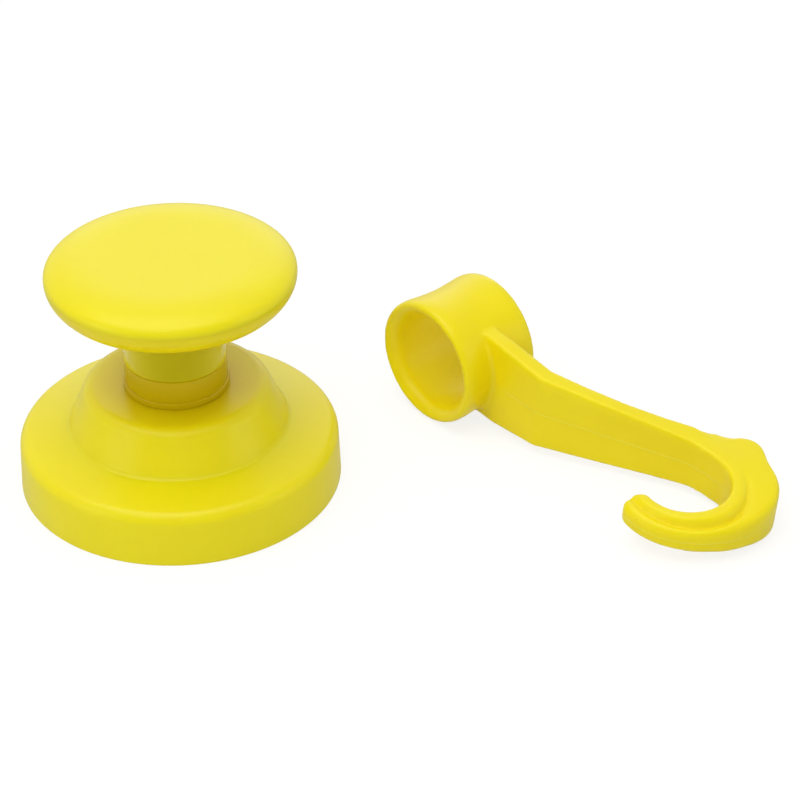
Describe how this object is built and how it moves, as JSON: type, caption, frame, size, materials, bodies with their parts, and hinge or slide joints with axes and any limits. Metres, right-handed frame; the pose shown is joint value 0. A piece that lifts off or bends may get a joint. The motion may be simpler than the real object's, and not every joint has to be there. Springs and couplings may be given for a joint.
{
  "type": "magnetic hook",
  "caption": "Coated disc magnet with a short stem and a flat round knob, and its loose cranked hook with a sleeve that fits round the stem.",
  "frame": {"origin": "centre of the magnet's holding face", "axes": "+Z along the stem, away from the surface that the magnet holds on; the hook lies towards +X and -Y"},
  "size_m": [0.1541, 0.0753, 0.0519],
  "materials": {
    "yellow_moulding": "satin lemon-yellow moulding",
    "yellow_bush": "glossy yellow turned bush",
    "plated_steel": "bright zinc plate",
    "ferrite": "ground sintered ferrite",
    "resin": "cast resin"
  },
  "bodies": {
    "magnet": {"magnet_cover": "yellow_moulding", "steel_pot": "plated_steel", "ring_magnet": "ferrite", "outer_potting": "resin", "inner_potting": "resin", "threaded_boss": "plated_steel", "boss_washer": "plated_steel", "boss_nut": "plated_steel", "stem_collar": "yellow_moulding"},
    "stem": {"stem_sleeve": "yellow_bush", "thrust_washer": "plated_steel"},
    "knob": {"knob_base": "yellow_moulding", "knob_cap": "yellow_moulding", "stud_washer": "plated_steel", "clamp_stud": "plated_steel"},
    "hook": {"hook": "yellow_moulding"}
  },
  "joints": [
    {"name": "stem_rise", "type": "slide", "parent": "magnet", "child": "stem", "axis": [0, 0, 1], "range_m": [0, 0.00905]},
    {"name": "knob_turn", "type": "hinge", "parent": "stem", "child": "knob", "pos_m": [0, 0, 0.0464], "axis": [0, 0, 1], "range_deg": [0, 2160]},
    {"name": "hook_swivel", "type": "hinge", "parent": "magnet", "child": "hook", "pos_m": [0.05034, 0.01858, 0.0138], "axis": [-0.7638, -0.6455, 0], "range_deg": [0, 190]}
  ],
  "couplings": [
    {"joint": "stem_rise", "follows": "knob_turn", "m_per_rad": 0.00023873}
  ]
}
